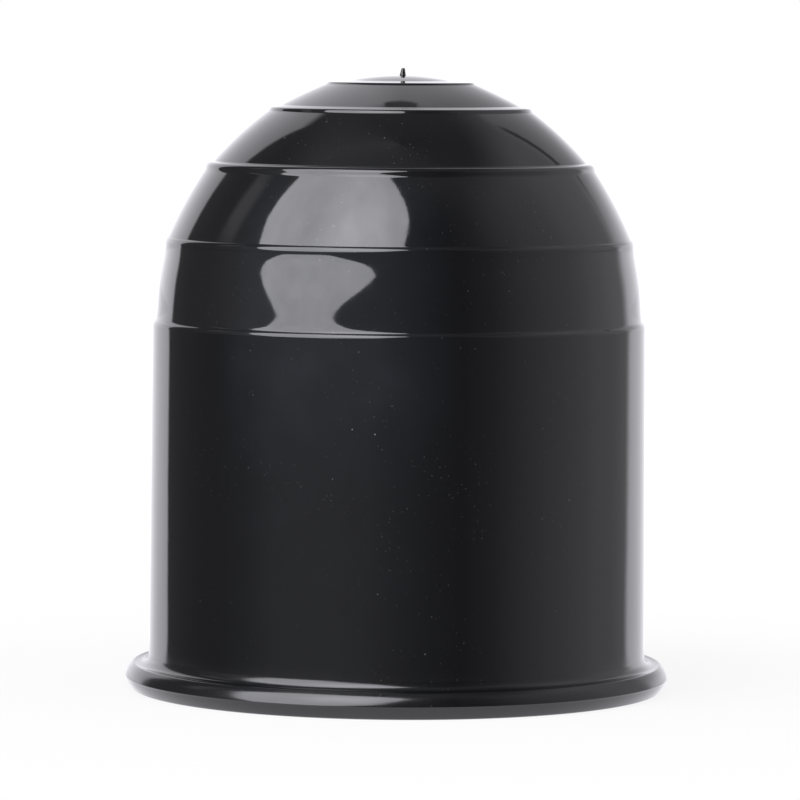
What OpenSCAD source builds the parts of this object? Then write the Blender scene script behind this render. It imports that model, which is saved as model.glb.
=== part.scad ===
// Push-on cover for a towing ball: one moulded shell, open at the foot.
// The origin is the centre of the rim's foot, and +Z runs up the axis to the crown.
// The stepped crown takes the most skill: four bowed tiers that are cut back by
// ledges with rounded edges, all hung from the sphere that the towing ball needs.

/* [Ball] */
// Diameter of the towing ball that the cover goes over
ball_d = 50; // [40:0.5:60]
// Gap between the ball and the bore, on the radius
ball_clearance = 0.3; // [0.1:0.05:0.8]
// Height of the ball's centre above the foot, with the cover pushed right home
ball_centre_h = 40.95; // [30:0.05:55]

/* [Shell] */
// Wall at the shoulder and over the top of the ball
wall = 2.1; // [1.6:0.05:3.5]
// Draft of the skirt's outside, in degrees
skirt_draft = 0.4; // [0:0.02:1]
// Radius on the inner edge of the mouth
mouth_round = 0.6; // [0.2:0.05:1]

/* [Top ring] */
// Angle from the axis to the ring's edge, seen from the ball's centre
top_angle = 16.8; // [15:0.1:20]
// How far the ring's edge stands out from the crown's sphere
top_proud = 0.43; // [0.3:0.01:0.6]
// Width of the ledge inside the ring's edge
top_ledge = 2.1; // [1.5:0.05:2.8]
// Fall of the ledge towards its edge, in degrees
top_fall = 4; // [0:0.5:10]
// Height of the riser below the ring's edge
top_riser = 0.22; // [0.15:0.01:0.5]
// Lean of the riser out of upright, in degrees
top_lean = 45; // [0:1:50]
// Radius on the ring's edge
top_edge = 0.25; // [0.1:0.01:0.4]

/* [Upper ring] */
// Angle from the axis to the ring's edge, seen from the ball's centre
upper_angle = 31.25; // [28:0.25:34]
// How far the ring's edge stands out from the crown's sphere
upper_proud = 0.45; // [0.3:0.01:0.8]
// Width of the ledge inside the ring's edge
upper_ledge = 1.2; // [0.8:0.05:1.5]
// Fall of the ledge towards its edge, in degrees
upper_fall = 12; // [0:0.5:20]
// Height of the riser below the ring's edge
upper_riser = 0.4; // [0.3:0.01:0.8]
// Lean of the riser out of upright, in degrees
upper_lean = 28; // [0:1:35]
// Radius on the ring's edge
upper_edge = 0.5; // [0.1:0.01:0.7]

/* [Middle ring] */
// Angle from the axis to the ring's edge, seen from the ball's centre
middle_angle = 50.75; // [47:0.25:54]
// How far the ring's edge stands out from the crown's sphere
middle_proud = 0.45; // [0.3:0.01:0.8]
// Width of the ledge inside the ring's edge
middle_ledge = 0.85; // [0.6:0.05:1.1]
// Fall of the ledge towards its edge, in degrees
middle_fall = 12; // [0:0.5:20]
// Height of the riser below the ring's edge
middle_riser = 0.75; // [0.5:0.01:1.2]
// Lean of the riser out of upright, in degrees
middle_lean = 8; // [0:1:20]
// Radius on the ring's edge
middle_edge = 0.62; // [0.1:0.01:0.9]

/* [Lower ring] */
// Angle from the axis to the ring's edge, seen from the ball's centre
lower_angle = 70.65; // [68:0.05:73]
// How far the ring's edge stands out from the crown's sphere
lower_proud = 0.18; // [0.1:0.01:0.4]
// Width of the ledge inside the ring's edge
lower_ledge = 0.3; // [0.2:0.01:0.5]
// Fall of the ledge towards its edge, in degrees
lower_fall = 38; // [30:0.5:45]
// Height of the riser below the ring's edge
lower_riser = 1.15; // [0.8:0.05:2]
// Lean of the riser out of upright, in degrees
lower_lean = 1; // [0:0.5:5]
// Radius on the ring's edge
lower_edge = 0.75; // [0.1:0.01:0.9]

/* [Shoulder] */
// Drop of the shoulder's edge below the ball's centre
shoulder_drop = 0.13; // [-0.5:0.01:1]
// Width of the shoulder's ledge, where the crown meets the skirt
shoulder_ledge = 0.34; // [0.25:0.01:0.5]
// Fall of the shoulder's ledge towards its edge, in degrees
shoulder_fall = 45; // [30:0.5:50]
// Radius on the shoulder's edge
shoulder_edge = 0.58; // [0.1:0.01:0.8]
// Radius in the crease above the shoulder
shoulder_crease_round = 0.5; // [0.1:0.01:0.7]

/* [Tiers] */
// Bow of the tier below the top ring, at mid length
tier_1_bow = 0.07; // [0.02:0.01:0.3]
// Bow of the tier below the upper ring, at mid length
tier_2_bow = 0.24; // [0.02:0.01:0.4]
// Bow of the tier below the middle ring, at mid length
tier_3_bow = 0.19; // [0.02:0.01:0.4]
// Bow of the tier above the shoulder, at mid length
tier_4_bow = 0.2; // [0.02:0.01:0.4]
// Radius in the crease at the back of each ledge
crease_round = 0.2; // [0.05:0.01:0.35]
// Radius in the hollow corner between each riser and the tier below it
foot_round = 0.8; // [0.1:0.05:1.5]

/* [Rim] */
// How far the rim stands out from the foot of the skirt
rim_reach = 2.6; // [2.2:0.01:4]
// Height of the rim's crest above the foot, before rounding
rim_h = 2.95; // [2.6:0.01:4]
// Depth of the groove between the skirt and the rim's crest
rim_groove = 0.39; // [0.1:0.01:0.8]
// Height of the slope between the rim's crest and its outer side
rim_slope_h = 0.8; // [0.5:0.01:1]
// Lean of that slope out of upright, in degrees
rim_lean = 43; // [30:0.5:50]
// Height of the mould's parting line, where the rim is widest
parting_h = 1.45; // [1.2:0.01:1.6]
// Draft of the rim's side above the parting line, in degrees
rim_draft = 7.5; // [1:0.5:10]
// Lean of the rim's side below the parting line, in degrees
rim_under = 29; // [15:0.5:35]
// Radius on the rim's crest
rim_crest_round = 0.3; // [0.05:0.05:0.6]
// Radius between the slope and the rim's outer side
rim_side_round = 2.15; // [1:0.05:2.5]
// Radius on the rim's foot
rim_foot_round = 0.9; // [0.4:0.05:1.6]
// Radius in the corner between the skirt and the groove
skirt_fillet = 1.1; // [0.4:0.05:1.6]

/* [Gate mark] */
// Height of the moulding sprue's stub over the crown
gate_h = 0.8; // [0.3:0.05:1.5]
// Diameter of the stub at its root
gate_root_d = 0.7; // [0.4:0.02:1]
// Diameter of the stub at its tip
gate_tip_d = 0.36; // [0.2:0.02:0.38]

/* [Hidden] */
$fn = 72;

bore_r = ball_d / 2 + ball_clearance;
crown_r = bore_r + wall;
shoulder_z = ball_centre_h - shoulder_drop;
rim_root_z = rim_h - rim_groove;
skirt_foot_r = crown_r + (shoulder_z - rim_root_z) * tan(skirt_draft);
rim_r = skirt_foot_r + rim_reach;
rim_side_z = rim_h - rim_slope_h;
rim_side_r = rim_r - (rim_side_z - parting_h) * tan(rim_draft);

gate_base_z = ball_centre_h + sqrt(pow(crown_r, 2) - pow(gate_root_d / 2, 2));
gate_top_z = ball_centre_h + crown_r + gate_h;
gate_root_round = 0.12;
gate_tip_round = 0.1;

// Each ring as the place of its edge, its ledge, its riser and the radius on its edge
top_ring = [top_angle, top_proud, top_ledge, top_fall, top_riser, top_lean, top_edge];
upper_ring =
    [upper_angle, upper_proud, upper_ledge, upper_fall, upper_riser, upper_lean, upper_edge];
middle_ring = [
    middle_angle, middle_proud, middle_ledge, middle_fall, middle_riser, middle_lean, middle_edge
];
lower_ring =
    [lower_angle, lower_proud, lower_ledge, lower_fall, lower_riser, lower_lean, lower_edge];

// Largest step of an arc, in degrees, and the number of chords along a bowed tier
arc_step = 20;
tier_chords = 4;
// Share of a side that its two roundings may use, so that none runs into the next
side_share = 0.995;

// A point of the half section at a distance and angle from the ball's centre
function on_crown(r, angle) = [r * sin(angle), ball_centre_h + r * cos(angle)];

// The crease at the back of a ledge that ends at an edge
function behind(edge, ledge, fall) = edge + ledge * [-1, tan(fall)];

// The outer edge of a ring, the crease behind its ledge and the foot of its riser
function ring_edge(ring) = on_crown(crown_r + ring[1], ring[0]);
function ring_crease(ring) = behind(ring_edge(ring), ring[2], ring[3]);
function ring_foot(ring) = ring_edge(ring) + ring[4] * [tan(ring[5]), -1];

// A corner of the outline: a point and the radius that rounds it
function corner(point, radius = 0) = [point[0], point[1], radius];

// The inner points of an arc from p to q that bows outward by the given height
function bowed(p, q, bow) =
    let (
        chord = norm(q - p),
        along = (q - p) / chord,
        outward = [-along[1], along[0]],
        radius = (chord * chord / 4 + bow * bow) / (2 * bow),
        centre = (p + q) / 2 - outward * (radius - bow),
        half = asin(chord / 2 / radius)
    )
    [for (i = [1 : tier_chords - 1])
        let (a = half * (2 * i / tier_chords - 1))
        corner(centre + radius * (outward * cos(a) + along * sin(a)))];

// The ledge and riser of a ring, and the bowed tier that runs down to the next crease
function tier(ring, next_crease, bow) = concat(
    [
        corner(ring_crease(ring), crease_round),
        corner(ring_edge(ring), ring[6]),
        corner(ring_foot(ring), foot_round)
    ],
    bowed(ring_foot(ring), next_crease, bow)
);

// The place of a corner of the outline, and the direction from one to another
function place(outline, i) = [outline[i][0], outline[i][1]];
function side(outline, i, j) = place(outline, j) - place(outline, i);
function toward(outline, i, j) = side(outline, i, j) / norm(side(outline, i, j));

// Half of the angle between the two sides that meet at a corner
function half_angle(outline, i) =
    acos(max(-1, min(1, toward(outline, i, i - 1) * toward(outline, i, i + 1)))) / 2;

// How much of each side a corner's radius takes up
function wanted(outline, i) =
    outline[i][2] > 0 ? outline[i][2] / tan(half_angle(outline, i)) : 0;

// The share of that length that the side between two corners has room for
function room(outline, i, j) =
    min(1, norm(side(outline, i, j)) / (wanted(outline, i) + wanted(outline, j)));

// Points that round one corner; where two roundings meet on a side they share it
function round_corner(outline, i) =
    let (
        back = toward(outline, i, i - 1),
        ahead = toward(outline, i, i + 1),
        half = half_angle(outline, i),
        fit = side_share * min(room(outline, i, i - 1), room(outline, i, i + 1)),
        reach = wanted(outline, i) * fit,
        radius = reach * tan(half),
        middle = (back + ahead) / norm(back + ahead),
        centre = place(outline, i) + middle * radius / sin(half),
        start = place(outline, i) + back * reach - centre,
        first = atan2(start[1], start[0]),
        sweep = sign(back[1] * ahead[0] - back[0] * ahead[1]) * (180 - 2 * half),
        steps = max(2, ceil(abs(sweep) / arc_step))
    )
    [for (i = [0 : steps])
        centre + radius * [cos(first + sweep * i / steps), sin(first + sweep * i / steps)]];

// The outline with each of its corners rounded by its own radius
function rounded(outline) = [
    for (i = [0 : len(outline) - 1])
        for (point = outline[i][2] > 0 ? round_corner(outline, i) : [place(outline, i)])
            point
];

// The crown's cap, between the gate mark and the top ring's ledge
cap_start = asin(gate_root_d / 2 / crown_r);
cap_end = atan2(ring_crease(top_ring)[0], ring_crease(top_ring)[1] - ball_centre_h);

function cap() = [
    for (i = [1 : tier_chords - 1])
        corner(on_crown(crown_r, cap_start + (cap_end - cap_start) * i / tier_chords))
];

shoulder_crease = behind([crown_r, shoulder_z], shoulder_ledge, shoulder_fall);

// The outside of the cover from the tip of the gate mark down to the foot
function outside() = rounded(concat(
    [
        corner([0, gate_top_z]),
        corner([gate_tip_d / 2, gate_top_z], gate_tip_round),
        corner([gate_root_d / 2, gate_base_z], gate_root_round)
    ],
    cap(),
    tier(top_ring, ring_crease(upper_ring), tier_1_bow),
    tier(upper_ring, ring_crease(middle_ring), tier_2_bow),
    tier(middle_ring, ring_crease(lower_ring), tier_3_bow),
    tier(lower_ring, shoulder_crease, tier_4_bow),
    [
        corner(shoulder_crease, shoulder_crease_round),
        corner([crown_r, shoulder_z], shoulder_edge),
        corner([skirt_foot_r, rim_root_z], skirt_fillet),
        corner([rim_side_r - rim_slope_h * tan(rim_lean), rim_h], rim_crest_round),
        corner([rim_side_r, rim_side_z], rim_side_round),
        corner([rim_r, parting_h]),
        corner([rim_r - parting_h * tan(rim_under), 0], rim_foot_round),
        corner([0, 0])
    ]
));

// Half section of the hollow: a dome over the ball, a straight bore and a rounded mouth
module hollow_section() {
    mouth_r = bore_r + mouth_round;
    intersection() {
        translate([0, ball_centre_h])
            circle(r = bore_r);
        translate([0, ball_centre_h])
            square([bore_r, bore_r]);
    }
    square([bore_r, ball_centre_h]);
    difference() {
        square([mouth_r, mouth_round]);
        translate([mouth_r, mouth_round])
            circle(r = mouth_round);
    }
}

// The whole cover, turned about its axis
module ball_cover() {
    color([0.07, 0.07, 0.08])
        rotate_extrude()
            difference() {
                polygon(outside());
                hollow_section();
            }
}

ball_cover();
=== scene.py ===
"""Looks of the tow ball cover: one glossy black moulded shell in a plain white studio.

The CAD gives the cover its shape and size. This script lays the same half section again
with finer steps, turns it into a closed shell, adds what the mould left on it (the parting
line round the rim, the leaning gate stub and the sunk wall of the lowest tier), and dresses
it in a moulded gloss black.
"""

import logging
import math
from dataclasses import dataclass, field
from enum import Enum

import bmesh
import bpy
from mathutils import Matrix, Vector


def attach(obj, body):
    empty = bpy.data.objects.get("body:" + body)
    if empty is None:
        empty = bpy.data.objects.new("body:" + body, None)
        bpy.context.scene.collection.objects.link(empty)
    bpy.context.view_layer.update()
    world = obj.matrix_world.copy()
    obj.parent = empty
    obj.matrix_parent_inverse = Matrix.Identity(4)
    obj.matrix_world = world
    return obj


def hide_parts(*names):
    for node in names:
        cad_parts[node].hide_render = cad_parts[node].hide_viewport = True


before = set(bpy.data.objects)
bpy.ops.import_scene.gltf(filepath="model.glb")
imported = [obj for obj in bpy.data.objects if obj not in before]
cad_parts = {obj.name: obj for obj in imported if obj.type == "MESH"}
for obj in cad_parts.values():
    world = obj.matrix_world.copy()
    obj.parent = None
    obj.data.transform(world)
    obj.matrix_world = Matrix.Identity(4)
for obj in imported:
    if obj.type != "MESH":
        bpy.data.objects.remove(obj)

MM = 0.001
NODE = "ball_cover"
LOG = logging.getLogger("tow_ball_cover")

Value = "Socket | float"


class Rays(Enum):
    """Which rays of light a piece of the studio is there for."""

    REFLECTED = "glossy"
    LIT = "diffuse"


class Socket:
    """An output of a shader node that can be used in plain arithmetic."""

    def __init__(self, shader: "Shader", output: bpy.types.NodeSocket) -> None:
        """Hold the output and the shader that it belongs to."""
        self.shader = shader
        self.output = output

    def _math(self, operation: str, first: Value, second: Value) -> "Socket":
        """Add one Math node and return its output."""
        return self.shader.node("Math", {"operation": operation}, {0: first, 1: second})

    def __add__(self, other: Value) -> "Socket":
        """Return self + other."""
        return self._math("ADD", self, other)

    def __radd__(self, other: Value) -> "Socket":
        """Return other + self."""
        return self._math("ADD", other, self)

    def __sub__(self, other: Value) -> "Socket":
        """Return self - other."""
        return self._math("SUBTRACT", self, other)

    def __rsub__(self, other: Value) -> "Socket":
        """Return other - self."""
        return self._math("SUBTRACT", other, self)

    def __mul__(self, other: Value) -> "Socket":
        """Return self * other."""
        return self._math("MULTIPLY", self, other)

    def __rmul__(self, other: Value) -> "Socket":
        """Return other * self."""
        return self._math("MULTIPLY", other, self)

    def __truediv__(self, other: Value) -> "Socket":
        """Return self / other."""
        return self._math("DIVIDE", self, other)

    def __pow__(self, other: Value) -> "Socket":
        """Return self raised to other."""
        return self._math("POWER", self, other)

    def __abs__(self) -> "Socket":
        """Return the size of self without its sign."""
        return self._math("ABSOLUTE", self, 0.0)

    def clamped(self) -> "Socket":
        """Return self held between 0 and 1."""
        return self.shader.node("Clamp", {}, {0: self})

    def ease(self, low: float, high: float) -> "Socket":
        """Rise smoothly from 0 to 1 while self goes from low to high.

        Args:
            low: the value at which the result leaves 0.
            high: the value at which it reaches 1; it may be below low.

        Returns:
            The eased socket.
        """
        settings = {"interpolation_type": "SMOOTHSTEP"}
        if high >= low:
            return self.shader.node("MapRange", settings, {0: self, 1: low, 2: high})
        falling = self.shader.node("MapRange", settings, {0: self, 1: high, 2: low})
        return 1.0 - falling


class Shader:
    """A node tree under construction, for a material, a lamp or the world."""

    def __init__(self, tree: bpy.types.NodeTree) -> None:
        """Empty the tree and start on it."""
        self.tree = tree
        tree.nodes.clear()

    def node(self, kind: str, settings: dict, inputs: dict, output: int | str = 0) -> Socket:
        """Add any node.

        Args:
            kind: the node's type without its ShaderNode prefix.
            settings: the node's own properties, set before its sockets are filled. The
                stops of a colour ramp go in as "stops", a list of (position, value).
            inputs: values, colours or sockets by the input's name or place.
            output: the name or place of the output that is wanted.

        Returns:
            That output, ready for arithmetic.
        """
        made = self.tree.nodes.new("ShaderNode" + kind)
        for name, setting in settings.items():
            if name == "stops":
                self._set_stops(made.color_ramp, setting)
            else:
                setattr(made, name, setting)
        for key, value in inputs.items():
            if isinstance(value, Socket):
                self.tree.links.new(value.output, made.inputs[key])
            else:
                made.inputs[key].default_value = value
        return Socket(self, made.outputs[output])

    def blend(self, share: Value, first: "Socket | tuple", second: "Socket | tuple") -> Socket:
        """Mix two colours.

        Args:
            share: how much of the second there is.
            first: the colour at 0, four numbers or a socket.
            second: the colour at 1.

        Returns:
            The mixed colour.
        """
        return self.node("Mix", {"data_type": "RGBA"}, {"Factor": share, 6: first, 7: second}, 2)

    @staticmethod
    def _set_stops(ramp: bpy.types.ColorRamp, stops: list[tuple[float, float]]) -> None:
        """Give a colour ramp its grey stops."""
        while len(ramp.elements) < len(stops):
            ramp.elements.new(0.5)
        for element, (position, value) in zip(ramp.elements, stops):
            element.position = position
            element.color = (value, value, value, 1.0)

    def finish(self, kind: str, surface: Socket) -> None:
        """Join the surface to the tree's output.

        Args:
            kind: "Material", "World" or "Light".
            surface: the shader that the tree ends in.
        """
        end = self.tree.nodes.new("ShaderNodeOutput" + kind)
        self.tree.links.new(surface.output, end.inputs["Surface"])


def object_axes(shader: Shader) -> tuple[Socket, Socket, Socket, Socket]:
    """Read the object's own coordinates.

    Args:
        shader: the tree to read them in.

    Returns:
        The coordinate as a vector, then its x, y and z in millimetres.
    """
    place = shader.node("TexCoord", {}, {}, "Object")
    axes = [shader.node("SeparateXYZ", {}, {0: place}, i) * (1 / MM) for i in range(3)]
    return (place, *axes)


def bearing(shader: Shader, x: Socket, y: Socket) -> Socket:
    """Work out a bearing about the axis.

    Args:
        shader: the tree to work in.
        x: distance to the right.
        y: distance to the back.

    Returns:
        The bearing in degrees, 0 towards the front and positive to the right.
    """
    angle = shader.node("Math", {"operation": "ARCTAN2"}, {0: x, 1: 0.0 - y})
    return angle * math.degrees(1.0)


@dataclass(frozen=True)
class MouldedGlossBlack:
    """Gloss black plastic straight from a polished mould, a little dusty from handling; the side
    that faces the soft box has a painted bluish sheen and painted glints on its dust.

    Sizes are in millimetres and bearings in degrees. A pair of numbers gives where a mask
    starts and where it is full. Each layer of dust gives its cell, the share of cells that
    hold a speck, the speck's radius as a share of the cell, and how strongly it shows.
    """

    colour: tuple[float, float, float] = (0.0041, 0.0042, 0.0055)
    # colour of the dust, which also paints its glints on the side that faces the soft box
    dust_and_glint_colour: tuple[float, float, float] = (0.30, 0.30, 0.31)
    # colour of the painted sheen, a lighter bluish black where the soft box's light falls
    painted_sheen_colour: tuple[float, float, float] = (0.0102, 0.0122, 0.0158)
    roughness: float = 0.045
    inside_roughness: float = 0.22
    ior: float = 1.5
    peel_size: float = 1.5
    peel_depth: float = 0.0024
    sink_size: float = 9.0
    sink_depth: float = 0.026
    scuff_size: float = 2.2
    bore_skin: tuple[float, float] = (26.0, 25.8)
    dome_skin: tuple[float, float] = (25.9, 25.6)
    dome_centre: float = 40.95
    dome_seam: tuple[float, float] = (40.8, 41.2)
    rim_top: tuple[float, float] = (6.0, 4.0)
    front_from: tuple[float, float] = (-48.0, -34.0)
    front_to: tuple[float, float] = (16.0, -4.0)
    # heights where the dust gets painted glints on the side that faces the soft box
    glint_z: tuple[float, float] = (14.0, 36.0)
    dust: tuple[tuple[float, float, float, float], ...] = (
        (0.45, 0.38, 0.12, 0.34), (0.9, 0.32, 0.085, 0.38), (2.6, 0.25, 0.04, 0.5))
    drift_size: float = 8.0
    cloud_size: float = 5.0
    skirt_top: tuple[float, float] = (43.0, 37.0)
    # heights of the painted sheen on the skirt
    skirt_sheen: tuple[float, float] = (22.0, 46.0)
    crown_foot: tuple[float, float] = (38.0, 43.0)
    crown_top: tuple[float, float] = (62.0, 52.0)

    def material(self) -> bpy.types.Material:
        """Build the finish.

        Returns:
            The material, with its pattern on Object coordinates.
        """
        material = bpy.data.materials.new("moulded_gloss_black")
        material.use_nodes = True
        shader = Shader(material.node_tree)
        place, x, y, z = object_axes(shader)
        radius = (x * x + y * y) ** 0.5
        inside = self._inside(radius, z)
        front = self._front(bearing(shader, x, y))
        # dust, partly real and partly painted glints: stronger on the side that faces the soft
        # box, where its light falls
        dust_and_glints = self._dust_and_glints(shader, place, front * z.ease(*self.glint_z)) * (1.0 - inside)
        # painted sheen: lighter on the side that faces the soft box, where its light falls
        painted_sheen = self._painted_sheen(shader, place, front, z) * (1.0 - inside)
        scuffs = self._noise(shader, place, self.scuff_size, 3.0).ease(0.45, 0.75)
        # lay in the painted sheen colour on the side that faces the soft box
        base = shader.blend(painted_sheen, (*self.colour, 1.0), (*self.painted_sheen_colour, 1.0))
        # lay in the dust colour, which also paints the glints on the side that faces the soft box
        base = shader.blend(dust_and_glints, base, (*self.dust_and_glint_colour, 1.0))
        roughness = (self.roughness + scuffs * 0.03 + dust_and_glints * 0.4 + painted_sheen * 0.03
                     + z.ease(*self.rim_top) * 0.1 + inside * self.inside_roughness)
        shell = shader.node("BsdfPrincipled", {}, {
            "Base Color": base, "Roughness": roughness, "IOR": self.ior,
            "Normal": self._relief(shader, place)})
        shader.finish("Material", shell)
        return material

    @staticmethod
    def _noise(shader: Shader, place: Socket, size: float, detail: float) -> Socket:
        """Return fractal noise whose features are about size millimetres across."""
        return shader.node("TexNoise", {}, {
            "Vector": place, "Scale": 1 / (size * MM), "Detail": detail}, 0)

    def _inside(self, radius: Socket, z: Socket) -> Socket:
        """Return 1 on the bore and the dome inside, and 0 outside."""
        rise = z - self.dome_centre
        from_ball = (radius * radius + rise * rise) ** 0.5
        bore = radius.ease(*self.bore_skin) * z.ease(*reversed(self.dome_seam))
        dome = from_ball.ease(*self.dome_skin) * z.ease(*self.dome_seam)
        return (bore + dome).clamped()

    def _front(self, around: Socket) -> Socket:
        """Return 1 on the side that faces the soft box, where the painted sheen and the dust's
        painted glints go.
        """
        return around.ease(*self.front_from) * around.ease(*self.front_to)

    def _dust_and_glints(self, shader: Shader, place: Socket, front: Socket) -> Socket:
        """Return the mask of the dust, fine grains with a few larger among them: real dust all
        round, made stronger on the side that faces the soft box as painted glints where its light
        falls.
        """
        dust: Value = 0.0
        for size, share, reach, strength in self.dust:
            cell = {"Vector": place, "Scale": 1 / (size * MM)}
            spot = shader.node("TexVoronoi", {}, cell, "Distance").ease(reach, reach * 0.5)
            colour = shader.node("TexVoronoi", {}, cell, "Color")
            chance = shader.node("SeparateXYZ", {}, {0: colour}, 0)
            dust = dust + spot * chance.ease(share, share - 0.01) * strength
        drift = self._noise(shader, place, self.drift_size, 3.0).ease(0.40, 0.66)
        # stronger on the side that faces the soft box: painted glints where its light falls
        return dust.clamped() * (drift * (front * 0.9 + 0.6) + 0.1)

    def _painted_sheen(self, shader: Shader, place: Socket, front: Socket, z: Socket) -> Socket:
        """Return the mask of a faint bluish painted sheen on the side that faces the soft box,
        where its light falls.
        """
        cloud = self._noise(shader, place, self.cloud_size, 3.0).ease(0.1, 0.9) * 0.8 + 0.4
        skirt = z.ease(*self.skirt_top) * (z.ease(*self.skirt_sheen) * 1.1 + 0.22)
        crown = z.ease(*self.crown_foot) * z.ease(*self.crown_top) * 0.55
        return front * (skirt + crown) * cloud

    def _relief(self, shader: Shader, place: Socket) -> Socket:
        """Return the normal of a surface with a fine peel and long shallow sinks."""
        peel = self._noise(shader, place, self.peel_size, 2.0) * (self.peel_depth * MM)
        sinks = self._noise(shader, place, self.sink_size, 1.0) * (self.sink_depth * MM)
        return shader.node("Bump", {}, {
            "Strength": 1.0, "Distance": 1.0, "Height": peel + sinks}, 0)


@dataclass(frozen=True)
class Ring:
    """One raised ring of the crown and the tier below it, in millimetres and degrees.

    Attributes:
        angle: the edge's angle from the axis, about the ball's centre.
        proud: how far the edge stands off the crown's sphere.
        ledge: the width of the ledge behind the edge.
        fall: how steeply the ledge falls outward.
        riser: the height of the riser under the edge.
        lean: how far the riser leans off the upright.
        edge: the radius that rounds the edge.
        bow: how far the tier below bows outward.
        foot: the radius of the hollow corner at the riser's foot.
        hollow: the height over which the tier's first wave makes that corner instead.
        waves: what the tier's wall has sunk into. Each wave gives the share of the tier at
            which it ends, how far that point stands off the straight line from top to foot,
            and how far the wave bows outward.
    """

    angle: float
    proud: float
    ledge: float
    fall: float
    riser: float
    lean: float
    edge: float
    bow: float = 0.0
    foot: float = 0.8
    hollow: float = 0.0
    waves: tuple[tuple[float, float, float], ...] = ()


@dataclass
class SectionPen:
    """Draws a half section in the XZ plane, corner by corner, in a mesh of its own."""

    mesh: bmesh.types.BMesh
    supports: float = 0.07
    corners: list[tuple[bmesh.types.BMVert, float, int]] = field(default_factory=list)
    last: bmesh.types.BMVert | None = None

    def start(self, x: float, z: float) -> None:
        """Put the pen down."""
        self.last = self.mesh.verts.new((x * MM, 0.0, z * MM))

    def line(self, x: float, z: float, radius: float = 0.0, segments: int = 5,
             parts: int = 1) -> None:
        """Draw a straight side.

        Args:
            x: distance from the axis at its end.
            z: height at its end.
            radius: radius that rounds the corner at its end.
            segments: steps of that rounding.
            parts: equal lengths that the side is cut into.
        """
        begin = self.last.co.copy()
        reach = Vector((x * MM, 0.0, z * MM)) - begin
        for part in range(1, parts + 1):
            grown = bmesh.ops.extrude_vert_indiv(self.mesh, verts=[self.last])["verts"][0]
            grown.co = begin + reach * (part / parts)
            self.last = grown
        if radius:
            self.corners.append((self.last, radius * MM, segments))

    def bow(self, x: float, z: float, height: float, steps: int) -> None:
        """Draw a side that bows outward.

        Args:
            x: distance from the axis at its end.
            z: height at its end.
            height: how far the middle stands off the straight side, in millimetres.
            steps: number of chords.
        """
        begin, end = self.last.co.copy(), Vector((x * MM, 0.0, z * MM))
        chord = (end - begin).length
        rise = height * MM
        circle = (chord * chord / 4 + rise * rise) / (2 * rise)
        along = (end - begin) / chord
        outward = Vector((-along.z, 0.0, along.x))
        self._arc((begin + end) / 2 - outward * (circle - rise),
                  2 * math.asin(chord / 2 / circle), steps)

    def round_last(self, radius: float, segments: int = 6) -> None:
        """Round the corner that the pen stands on once the next side is drawn."""
        self.corners.append((self.last, radius * MM, segments))

    def arc(self, x: float, z: float, angle: float, steps: int) -> None:
        """Draw an arc about a centre.

        Args:
            x: the centre's distance from the axis.
            z: the centre's height.
            angle: the turn in degrees, positive from the crown towards the skirt.
            steps: number of chords.
        """
        self._arc(Vector((x * MM, 0.0, z * MM)), math.radians(angle), steps)

    def _arc(self, centre: Vector, angle: float, steps: int) -> None:
        """Spin the last point about a centre and carry on from where it ends."""
        spun = bmesh.ops.spin(self.mesh, geom=[self.last], cent=centre, axis=(0.0, 1.0, 0.0),
                              dvec=(0.0, 0.0, 0.0), angle=angle, steps=steps)
        self.last = next(e for e in spun["geom_last"] if isinstance(e, bmesh.types.BMVert))

    def round_corners(self) -> None:
        """Round each corner by its radius; corners that share a short side share it fairly."""
        wanted = {corner: radius / math.tan(self._half_angle(corner))
                  for corner, radius, _ in self.corners}
        fits = {}
        for corner in wanted:
            fits[corner] = wanted[corner] * min(
                [0.995] + [0.995 * edge.calc_length()
                           / (wanted[corner] + wanted.get(edge.other_vert(corner), 0.0))
                           for edge in corner.link_edges])
        self._add_supports(fits)
        for corner, _, segments in self.corners:
            bmesh.ops.bevel(self.mesh, geom=[corner], offset=fits[corner], offset_type="OFFSET",
                            segments=segments, profile=0.5, affect="VERTICES", material=-1)
        self.corners.clear()

    def _add_supports(self, fits: dict[bmesh.types.BMVert, float]) -> None:
        """Put a point close behind each rounding, so that the sides stay flat to the light."""
        for corner, fit in fits.items():
            for edge in list(corner.link_edges):
                used = fit + fits.get(edge.other_vert(corner), 0.0)
                if edge.calc_length() - used > 2.5 * self.supports * MM:
                    share = (fit + self.supports * MM) / edge.calc_length()
                    bmesh.utils.edge_split(edge, corner, share)

    @staticmethod
    def _half_angle(corner: bmesh.types.BMVert) -> float:
        """Return half of the angle between the two sides that meet at a corner."""
        back, ahead = (edge.other_vert(corner).co - corner.co for edge in corner.link_edges)
        return back.angle(ahead) / 2


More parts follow.
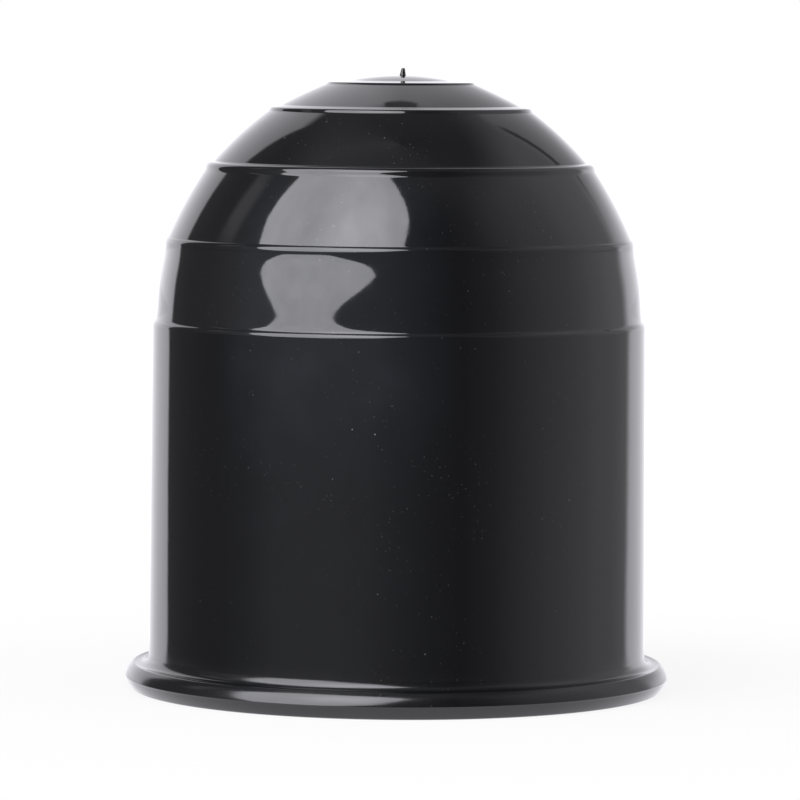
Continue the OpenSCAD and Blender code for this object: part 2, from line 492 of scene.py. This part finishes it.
@dataclass
class CoverShell:
    """The cover itself, from the gate stub on its crown to the rim round its mouth."""

    bore_r: float = 25.3
    wall: float = 2.1
    ball_centre: float = 40.95
    rings: tuple[Ring, ...] = (
        Ring(16.8, 0.43, 2.1, 4.0, 0.22, 45.0, 0.25, 0.07),
        Ring(31.25, 0.45, 1.2, 12.0, 0.4, 28.0, 0.3, 0.24, foot=0.3),
        Ring(50.75, 0.45, 0.85, 12.0, 0.75, 8.0, 0.62, 0.19),
        Ring(70.65, 0.18, 0.3, 38.0, 1.15, 1.0, 0.75, hollow=0.8, waves=(
            (0.0384, 0.0314, -0.0202), (0.1204, 0.0476, -0.0028), (0.2162, 0.0855, -0.0015),
            (0.4214, 0.1421, 0.0093), (0.6129, 0.1215, 0.0097), (0.7223, 0.0783, 0.0023),
            (0.8044, 0.0363, 0.0006), (0.8728, 0.0024, -0.0008), (0.9275, -0.0157, -0.0016),
            (0.9686, -0.0172, -0.0018), (1.0, 0.0, -0.0010))),
    )
    crease_round: float = 0.2
    shoulder_drop: float = 0.13
    shoulder_ledge: float = 0.34
    shoulder_fall: float = 45.0
    shoulder_edge: float = 0.58
    shoulder_crease: float = 0.5
    skirt_draft: float = 0.4
    skirt_fillet: float = 1.1
    rim_reach: float = 2.6
    rim_h: float = 2.95
    rim_groove: float = 0.39
    rim_slope_h: float = 0.8
    rim_lean: float = 43.0
    rim_draft: float = 7.5
    rim_under: float = 29.0
    rim_under_bow: float = 0.07
    rim_crest_round: float = 0.3
    rim_side_round: float = 2.15
    rim_foot_round: float = 0.9
    mouth_round: float = 0.6
    gate_h: float = 0.8
    gate_root_r: float = 0.35
    gate_tip_r: float = 0.18
    gate_tip_round: float = 0.1
    gate_root_round: float = 0.12
    gate_shift: float = 0.2
    gate_lean: float = 0.05
    gate_pull_r: float = 4.0
    parting_h: float = 1.45
    parting_proud: float = 0.01
    around: int = 256
    cap_steps: int = 12
    tier_steps: int = 14
    wave_steps: int = 45
    finish: MouldedGlossBlack = MouldedGlossBlack()

    @property
    def crown_r(self) -> float:
        """Radius of the crown's sphere."""
        return self.bore_r + self.wall

    @property
    def shoulder_z(self) -> float:
        """Height of the shoulder's edge, where the crown meets the skirt."""
        return self.ball_centre - self.shoulder_drop

    def build(self) -> bpy.types.Object:
        """Make the shell and put it in the CAD node's place.

        Returns:
            The finished object, at the origin and unturned.
        """
        mesh = bmesh.new()
        pen = SectionPen(mesh)
        self._draw_crown(pen)
        self._draw_skirt_and_rim(pen)
        self._draw_hollow(pen)
        pen.round_corners()
        bmesh.ops.spin(mesh, geom=mesh.verts[:] + mesh.edges[:], cent=(0.0, 0.0, 0.0),
                       axis=(0.0, 0.0, 1.0), dvec=(0.0, 0.0, 0.0), angle=2 * math.pi,
                       steps=self.around, use_merge=True)
        bmesh.ops.remove_doubles(mesh, verts=mesh.verts[:], dist=0.0005 * MM)
        bmesh.ops.recalc_face_normals(mesh, faces=mesh.faces[:])
        self._lean_gate(mesh)
        return self._dress(mesh)

    def _on_crown(self, proud: float, angle: float) -> tuple[float, float]:
        """Return a point at a stand-out from the crown's sphere and an angle from its axis."""
        reach, turn = self.crown_r + proud, math.radians(angle)
        return reach * math.sin(turn), self.ball_centre + reach * math.cos(turn)

    def _draw_crown(self, pen: SectionPen) -> None:
        """Draw the gate stub, the cap and the four stepped tiers down to the shoulder."""
        root_z = self.ball_centre + math.sqrt(self.crown_r ** 2 - self.gate_root_r ** 2)
        pen.start(0.0, self.ball_centre + self.crown_r + self.gate_h)
        pen.line(self.gate_tip_r, self.ball_centre + self.crown_r + self.gate_h,
                 self.gate_tip_round, 4)
        pen.line(self.gate_root_r, root_z, self.gate_root_round, 4)
        crease_x, crease_z = self._crease(0)
        cap_end = math.atan2(crease_x, crease_z - self.ball_centre)
        cap_start = math.asin(self.gate_root_r / self.crown_r)
        pen.arc(0.0, self.ball_centre, math.degrees(cap_end - cap_start), self.cap_steps)
        pen.line(crease_x, crease_z)
        for place, ring in enumerate(self.rings):
            edge_x, edge_z = self._on_crown(ring.proud, ring.angle)
            foot_x = edge_x + ring.riser * math.tan(math.radians(ring.lean))
            pen.round_last(self.crease_round)
            pen.line(edge_x, edge_z, ring.edge, 8)
            foot = foot_x, edge_z - ring.riser
            pen.line(foot[0], foot[1] + ring.hollow, 0.0 if ring.hollow else ring.foot, 6)
            self._draw_tier(pen, ring, foot, self._crease(place + 1))

    def _draw_tier(self, pen: SectionPen, ring: Ring, top: tuple[float, float],
                   foot: tuple[float, float]) -> None:
        """Draw a tier, as one bow or as the waves that its wall has sunk into.

        Args:
            pen: the pen, which stands on the tier's top, or a little above it where the
                tier starts with a hollow.
            ring: the ring above the tier.
            top: the tier's top, as distance from the axis and height.
            foot: the crease at its foot.
        """
        if not ring.waves:
            pen.bow(*foot, ring.bow, self.tier_steps)
        reach = Vector(foot) - Vector(top)
        outward = Vector((-reach.y, reach.x)).normalized()
        last = -ring.hollow / reach.length
        for share, off, bow in ring.waves:
            end = Vector(top) + reach * share + outward * off
            pen.bow(end.x, end.y, bow, max(1, round((share - last) * self.wave_steps)))
            last = share

    def _crease(self, place: int) -> tuple[float, float]:
        """Return the crease at the back of a ring's ledge, or of the shoulder's after them."""
        if place == len(self.rings):
            rise = self.shoulder_ledge * math.tan(math.radians(self.shoulder_fall))
            return self.crown_r - self.shoulder_ledge, self.shoulder_z + rise
        ring = self.rings[place]
        edge_x, edge_z = self._on_crown(ring.proud, ring.angle)
        return edge_x - ring.ledge, edge_z + ring.ledge * math.tan(math.radians(ring.fall))

    def _draw_skirt_and_rim(self, pen: SectionPen) -> None:
        """Draw the shoulder's ledge, the drafted skirt and the rim with its parting line."""
        root_z = self.rim_h - self.rim_groove
        drop = self.shoulder_z - root_z
        foot_x = self.crown_r + drop * math.tan(math.radians(self.skirt_draft))
        rim_x = foot_x + self.rim_reach
        pen.round_last(self.shoulder_crease)
        pen.line(self.crown_r, self.shoulder_z, self.shoulder_edge, 8)
        pen.line(foot_x, root_z, self.skirt_fillet, 8, parts=18)
        side_z = self.rim_h - self.rim_slope_h
        side_x = rim_x - (side_z - self.parting_h) * math.tan(math.radians(self.rim_draft))
        slope = self.rim_slope_h * math.tan(math.radians(self.rim_lean))
        under = self.parting_h * math.tan(math.radians(self.rim_under))
        pen.line(side_x - slope, self.rim_h, self.rim_crest_round, 8)
        pen.line(side_x, side_z, self.rim_side_round, 12)
        pen.line(rim_x, self.parting_h + 0.04)
        pen.line(rim_x + self.parting_proud, self.parting_h)
        pen.line(rim_x - 0.02, self.parting_h - 0.04)
        pen.bow(rim_x - under, 0.0, self.rim_under_bow, 8)
        pen.round_last(self.rim_foot_round, 12)

    def _draw_hollow(self, pen: SectionPen) -> None:
        """Draw the foot's flat, the mouth, the straight bore and the dome over the ball."""
        pen.line(self.bore_r, 0.0, self.mouth_round, 6)
        pen.line(self.bore_r, self.ball_centre, parts=16)
        pen.arc(0.0, self.ball_centre, -90.0, 24)

    def _lean_gate(self, mesh: bmesh.types.BMesh) -> None:
        """Shift the gate stub off the axis and lean it, and let the cap follow a little way."""
        root_z = (self.ball_centre + self.crown_r) * MM
        still_r = 0.6
        for vert in mesh.verts:
            away = math.hypot(vert.co.x, vert.co.y) / MM
            if vert.co.z > root_z - 0.5 * MM and away < self.gate_pull_r:
                share = 1.0 - max(0.0, away - still_r) / (self.gate_pull_r - still_r)
                height = max(0.0, vert.co.z - root_z) / (self.gate_h * MM)
                vert.co.x += (self.gate_shift + self.gate_lean * height) * MM * share * share

    def _dress(self, mesh: bmesh.types.BMesh) -> bpy.types.Object:
        """Turn the mesh into an object with its finish, in the CAD node's place.

        Args:
            mesh: the finished shell.

        Returns:
            The object.
        """
        data = bpy.data.meshes.new("cover_shell")
        mesh.to_mesh(data)
        mesh.free()
        data.shade_smooth()
        data.materials.append(self.finish.material())
        shell = bpy.data.objects.new("cover_shell", data)
        bpy.context.scene.collection.objects.link(shell)
        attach(shell, "root")
        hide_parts(NODE)
        return shell


@dataclass(frozen=True)
class RoomLight:
    """What stands round the cover: a lit backdrop behind it, walls, and a dim ceiling.

    Bearings are in degrees, 0 towards the front and positive to the right. Strengths are
    multiples of white. A pair of numbers gives the bearings or elevations at which
    something starts and is full. The floor_ values are for what the floor mirrors, the
    halo is a pale panel on the left, and the gap is a dark slit in the backdrop.
    """

    floor_backdrop: float = 1.75
    floor_left: tuple[float, float] = (-134.5, -137.5)
    floor_right: tuple[float, float] = (131.8, 139.8)
    floor_middle: tuple[float, float] = (134.0, 156.0)
    floor_middle_loss: float = 0.3
    backdrop_left: tuple[float, float] = (-134.5, -137.5)
    backdrop_right: tuple[float, float] = (131.0, 142.0)
    backdrop_tilt: float = 0.04
    backdrop_top: float = 50.5
    backdrop_rise: float = 0.2
    backdrop_level: float = 142.0
    upper_from: tuple[float, float] = (2.0, 24.0)
    beam_half_width: float = 5.5
    beam_foot: tuple[float, float] = (53.8, 55.0)
    ceiling_from: tuple[float, float] = (68.0, 46.0)
    halo: float = 0.4
    halo_left: tuple[float, float] = (-114.0, -108.0)
    halo_right: tuple[float, float] = (-98.0, -104.0)
    halo_foot: tuple[float, float] = (22.0, 31.0)
    halo_top: tuple[float, float] = (47.0, 38.0)
    gap: float = 140.0
    gap_loss: float = 0.7
    gap_half_width: tuple[float, float] = (2.0, 0.6)
    gap_foot: tuple[float, float] = (12.0, 32.0)
    gap_top: tuple[float, float] = (50.0, 44.0)
    walls: tuple[tuple[float, float], ...] = (
        (-180, 0.30), (-137, 0.16), (-120, 0.16), (-105, 0.22), (-90, 0.34), (-75, 0.48),
        (-60, 0.50), (-45, 0.50), (-30, 0.43), (-15, 0.34), (0, 0.22), (15, 0.14),
        (30, 0.10), (45, 0.21), (60, 0.44), (75, 0.61), (90, 0.70), (105, 0.80),
        (120, 0.74), (135, 0.58), (180, 0.30))
    floor_walls: tuple[tuple[float, float], ...] = (
        (-180, 0.15), (-135, 0.15), (-105, 0.15), (-90, 0.17), (-75, 0.23), (-60, 0.37),
        (-45, 0.41), (-30, 0.41), (-15, 0.36), (0, 0.24), (15, 0.16), (30, 0.12), (45, 0.22),
        (60, 0.42), (75, 0.58), (90, 0.68), (105, 0.71), (120, 0.58), (180, 0.50))
    upper_backdrop: tuple[tuple[float, float], ...] = (
        (-180, 1.10), (-170, 1.45), (-150, 1.45), (-138, 1.42), (0, 1.30), (120, 0.66),
        (138, 0.70), (152, 0.76), (164, 0.87), (172, 1.05), (180, 1.10))
    lower_backdrop: tuple[tuple[float, float], ...] = (
        (-180, 1.40), (-165, 1.62), (-145, 1.75), (145, 1.68), (165, 1.50), (180, 1.40))
    ceiling: tuple[tuple[float, float], ...] = (
        (-180, 0.20), (-150, 0.21), (-125, 0.30), (-100, 0.44), (-75, 0.41), (-45, 0.36),
        (0, 0.33), (45, 0.28), (75, 0.20), (110, 0.17), (180, 0.20))

    @staticmethod
    def _round(shader: Shader, angle: Socket, stops: tuple[tuple[float, float], ...]) -> Socket:
        """Return the strength that the stops give at a bearing."""
        ramp = [(bearing_ / 360 + 0.5, grey) for bearing_, grey in stops]
        return shader.node("ValToRGB", {"stops": ramp}, {0: angle / 360.0 + 0.5}, 0)

    def along(self, shader: Shader, angle: Socket) -> Socket:
        """Give the light that comes level from a bearing.

        Args:
            shader: the tree to work in.
            angle: the bearing in degrees.

        Returns:
            The strength, where 1 is white.
        """
        back = angle.ease(*self.floor_left) + angle.ease(*self.floor_right)
        lit = self.floor_backdrop - abs(angle).ease(*self.floor_middle) * self.floor_middle_loss
        return self._round(shader, angle, self.floor_walls) * (1.0 - back) + lit * back

    def around(self, shader: Shader, angle: Socket, height: Socket) -> Socket:
        """Give the light that comes from a direction.

        Args:
            shader: the tree to work in.
            angle: the bearing in degrees.
            height: the elevation in degrees.

        Returns:
            The strength, where 1 is white.
        """
        low = height.ease(*self.ceiling_from)
        room = (self._round(shader, angle, self.walls) * low
                + self._round(shader, angle, self.ceiling) * (1.0 - low))
        halo = (angle.ease(*self.halo_left) * angle.ease(*self.halo_right)
                * height.ease(*self.halo_foot) * height.ease(*self.halo_top))
        gap = (abs(angle - self.gap).ease(*self.gap_half_width) * height.ease(*self.gap_foot)
               * height.ease(*self.gap_top) * self.gap_loss)
        left = (angle + height * self.backdrop_tilt).ease(*self.backdrop_left)
        right = angle.ease(*self.backdrop_right)
        crest = self.backdrop_top + self.backdrop_rise * (abs(angle) - self.backdrop_level)
        top = (height - crest).ease(3.0, -3.0)
        beam_edge = 180.0 - self.beam_half_width
        beam = abs(angle).ease(beam_edge - 2.0, beam_edge) * height.ease(*self.beam_foot)
        high = height.ease(*self.upper_from)
        glow = (self._round(shader, angle, self.lower_backdrop) * (1.0 - high)
                + self._round(shader, angle, self.upper_backdrop) * high)
        back = (left + right) * top * (1.0 - beam)
        return ((room + self.halo * halo) * (1.0 - back) + glow * back) * (1.0 - gap)


@dataclass
class Studio:
    """A pale floor, soft lamps, a big soft box on the upper left, and the camera.

    Lengths are in metres, bearings and elevations in degrees. The soft box's corners are
    shares of its distance. Under and close round the cover, as far as near_floor, the floor
    is a plain light in the gloss, and beyond clear_floor it shows pure white.
    """

    room: RoomLight = RoomLight()
    floor_r: float = 3.0
    floor_colour: tuple[float, float, float] = (0.88, 0.88, 0.88)
    floor_glow: float = 0.87
    near_floor: tuple[float, float] = (0.052, 0.036)
    near_glow: float = 1.5
    clear_floor: tuple[float, float] = (0.024, 0.104)
    floor_parallax: float = 0.0354
    soft_box_bearing: float = -42.0
    soft_box_height: float = 42.0
    soft_box_distance: float = 0.9
    soft_box_strength: float = 6.1
    soft_box_heart: float = 2.4
    soft_box_heart_r: float = 0.42
    soft_box_heart_place: tuple[float, float] = (0.2, 0.05)
    soft_box_rise: float = 0.045
    soft_box_round: float = 0.085
    soft_box_hem: float = 0.04
    soft_box_corners: tuple[tuple[float, float], ...] = (
        (-0.39, -0.85), (0.20, -0.85), (0.61, -0.38), (0.60, 0.28), (0.52, 0.42),
        (0.28, 0.48), (-0.26, 0.48), (-0.49, 0.26), (-0.62, 0.13), (-0.63, 0.0), (-0.60, -0.47))
    lamps: tuple[tuple[str, float, float, float], ...] = (
        ("key_lamp", -42.0, 42.0, 6.0), ("fill_lamp", 60.0, 30.0, 2.0))
    ambient: float = 0.5
    cool: tuple[float, float, float, float] = (0.985, 0.980, 1.040, 1.0)
    camera_distance: float = 0.640
    camera_height: float = 0.0765
    camera_dip: float = 3.958
    camera_yaw: float = 0.0155
    camera_roll: float = 0.44
    focal_px: float = 5758.0
    picture_px: float = 800.0

    def build(self) -> None:
        """Set up everything round the cover."""
        scene = bpy.context.scene
        scene.view_settings.view_transform = "Standard"
        self._light_the_world(scene)
        self._lay_floor()
        self._hang_soft_box()
        for lamp in self.lamps:
            self._hang_lamp(*lamp)
        self._place_camera(scene)

    @staticmethod
    def _direction(angle: float, height: float) -> Vector:
        """Return the unit vector towards a bearing and elevation in degrees."""
        turn, rise = math.radians(angle), math.radians(height)
        return Vector((math.sin(turn) * math.cos(rise), -math.cos(turn) * math.cos(rise),
                       math.sin(rise)))

    @staticmethod
    def _seen(shader: Shader) -> tuple[Socket, Socket]:
        """Return the masks of camera rays, and of reflected and transmitted rays."""
        camera = shader.node("LightPath", {}, {}, "Is Camera Ray")
        glossy = shader.node("LightPath", {}, {}, "Is Glossy Ray")
        through = shader.node("LightPath", {}, {}, "Is Transmission Ray")
        return camera, (glossy + through).clamped()

    def _light_the_world(self, scene: bpy.types.Scene) -> None:
        """Make the surroundings white to the camera, a studio in reflections, and soft light."""
        world = bpy.data.worlds.new("studio")
        world.use_nodes = True
        scene.world = world
        shader = Shader(world.node_tree)
        direction = shader.node("TexCoord", {}, {}, "Generated")
        x, y, z = (shader.node("SeparateXYZ", {}, {0: direction}, i) for i in range(3))
        rise = shader.node("Math", {"operation": "ARCSINE"}, {0: z}) * math.degrees(1.0)
        room = self.room.around(shader, bearing(shader, x, y), rise)
        camera, mirrored = self._seen(shader)
        rest = 1.0 - (camera + mirrored).clamped()
        strength = camera * 1.0 + mirrored * room + rest * self.ambient
        tint = shader.blend(mirrored, (1.0, 1.0, 1.0, 1.0), self.cool)
        shader.finish("World", shader.node("Background", {}, {0: tint, 1: strength}))

    def _lay_floor(self) -> None:
        """Lay the pale floor, which shows white and keeps the cover's soft shadow."""
        mesh = bmesh.new()
        bmesh.ops.create_circle(mesh, cap_ends=True, segments=64, radius=self.floor_r)
        material = bpy.data.materials.new("pale_floor")
        material.use_nodes = True
        shader = Shader(material.node_tree)
        _, x, y, _ = object_axes(shader)
        camera, mirrored = self._seen(shader)
        away = (x * x + y * y) ** 0.5
        near = away.ease(*(edge / MM for edge in self.near_floor))
        turn = bearing(shader, x, y)
        half = shader.node("Math", {"operation": "SINE"}, {0: turn * math.radians(0.5)})
        parallax = half * math.degrees(self.floor_parallax / MM) / away
        room = self.room.along(shader, turn + parallax)
        strength = camera + mirrored * (near * self.near_glow + room * (1.0 - near))
        matt = shader.node("BsdfDiffuse", {}, {0: (*self.floor_colour, 1.0)})
        tint = shader.blend(mirrored, (1.0, 1.0, 1.0, 1.0), self.cool)
        glow = shader.node("Emission", {}, {0: tint, 1: strength})
        clear = away.ease(*(edge / MM for edge in self.clear_floor))
        share = camera * (self.floor_glow + (1.0 - self.floor_glow) * clear) + mirrored
        shader.finish("Material", shader.node("MixShader", {}, {0: share, 1: matt, 2: glow}))
        self._add("floor", mesh, material)

    def _hang_soft_box(self) -> None:
        """Hang the soft box that the crown reflects; it lights nothing by itself."""
        mesh = bmesh.new()
        glow = mesh.verts.layers.float.new("glow")
        corners = [Vector((x, y, 0.0)) * self.soft_box_distance for x, y in self.soft_box_corners]
        mesh.faces.new([mesh.verts.new(corner) for corner in corners])
        bmesh.ops.bevel(mesh, geom=mesh.verts[:], offset=self.soft_box_round,
                        offset_type="OFFSET", segments=8, profile=0.5, affect="VERTICES",
                        material=-1)
        cloth = max(mesh.faces, key=lambda face: face.calc_area())
        bmesh.ops.inset_region(mesh, faces=[cloth], thickness=self.soft_box_hem)
        for vert in cloth.verts:
            vert[glow] = 1.0
        towards = self._direction(self.soft_box_bearing, self.soft_box_height)
        turn = towards.to_track_quat("Z", "Y").to_matrix().to_4x4()
        place = Matrix.Translation(
            towards * self.soft_box_distance + Vector((0.0, 0.0, self.soft_box_rise)))
        bmesh.ops.transform(mesh, matrix=place @ turn, verts=mesh.verts[:])
        material = bpy.data.materials.new("soft_box_cloth")
        material.use_nodes = True
        shader = Shader(material.node_tree)
        fade = shader.node("Attribute", {"attribute_name": "glow"}, {}, "Fac")
        heart = place @ turn @ (Vector((*self.soft_box_heart_place, 0.0)) * self.soft_box_distance)
        spot = shader.node("TexCoord", {}, {}, "Object")
        off = shader.node("VectorMath", {"operation": "DISTANCE"}, {0: spot, 1: heart}, "Value")
        uneven = shader.node("TexNoise", {}, {"Vector": spot, "Scale": 6.0, "Detail": 3.0}, 0)
        heart_glow = off.ease(self.soft_box_heart_r, 0.0) * self.soft_box_heart
        strength = (fade.ease(0.0, 1.0) * (uneven * 0.4 + 0.8)
                    * (self.soft_box_strength + heart_glow))
        shader.finish("Material", shader.node("Emission", {}, {0: self.cool, 1: strength}))
        box = self._add("soft_box", mesh, material)
        self._show_only(box, Rays.REFLECTED)

    def _hang_lamp(self, name: str, angle: float, height: float, power: float) -> None:
        """Hang a soft area lamp that lights the cover without showing in its gloss.

        Args:
            name: the lamp's name.
            angle: its bearing in degrees.
            height: its elevation in degrees.
            power: its power in watts.
        """
        data = bpy.data.lights.new(name, "AREA")
        data.shape, data.size, data.energy = "DISK", 0.9, power
        lamp = bpy.data.objects.new(name, data)
        bpy.context.scene.collection.objects.link(lamp)
        towards = self._direction(angle, height)
        lamp.location = towards * self.soft_box_distance
        lamp.rotation_euler = towards.to_track_quat("Z", "Y").to_euler()
        self._show_only(lamp, Rays.LIT)

    @staticmethod
    def _show_only(piece: bpy.types.Object, rays: Rays) -> None:
        """Let a piece of the studio act on one kind of rays alone."""
        piece.visible_camera = False
        piece.visible_transmission = False
        piece.visible_shadow = False
        piece.visible_glossy = rays is Rays.REFLECTED
        piece.visible_diffuse = rays is Rays.LIT

    @staticmethod
    def _add(name: str, mesh: bmesh.types.BMesh, material: bpy.types.Material) -> bpy.types.Object:
        """Put a piece of the studio in the scene and return it."""
        data = bpy.data.meshes.new(name)
        mesh.to_mesh(data)
        mesh.free()
        data.materials.append(material)
        piece = bpy.data.objects.new(name, data)
        bpy.context.scene.collection.objects.link(piece)
        return piece

    def _place_camera(self, scene: bpy.types.Scene) -> None:
        """Stand the camera where the photograph was taken from."""
        data = bpy.data.cameras.new("camera")
        data.sensor_width = 36.0
        data.lens = self.focal_px / self.picture_px * data.sensor_width
        data.clip_start = 0.01
        camera = bpy.data.objects.new("camera", data)
        scene.collection.objects.link(camera)
        camera.matrix_world = (
            Matrix.Translation((0.0, -self.camera_distance, self.camera_height))
            @ Matrix.Rotation(math.radians(-self.camera_yaw), 4, "Z")
            @ Matrix.Rotation(math.radians(90.0 - self.camera_dip), 4, "X")
            @ Matrix.Rotation(math.radians(self.camera_roll), 4, "Z"))
        scene.camera = camera


def main() -> None:
    """Build the studio and the cover."""
    logging.basicConfig(level=logging.INFO, format="%(name)s: %(message)s")
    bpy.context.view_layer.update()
    Studio().build()
    LOG.info("studio: floor, soft box, lamps and camera are in place")
    shell = CoverShell().build()
    LOG.info("%s: %d faces, %.2f x %.2f x %.2f mm", shell.name, len(shell.data.polygons),
             *(side / MM for side in shell.dimensions))
    bpy.context.view_layer.update()


if __name__ == "__main__":
    main()
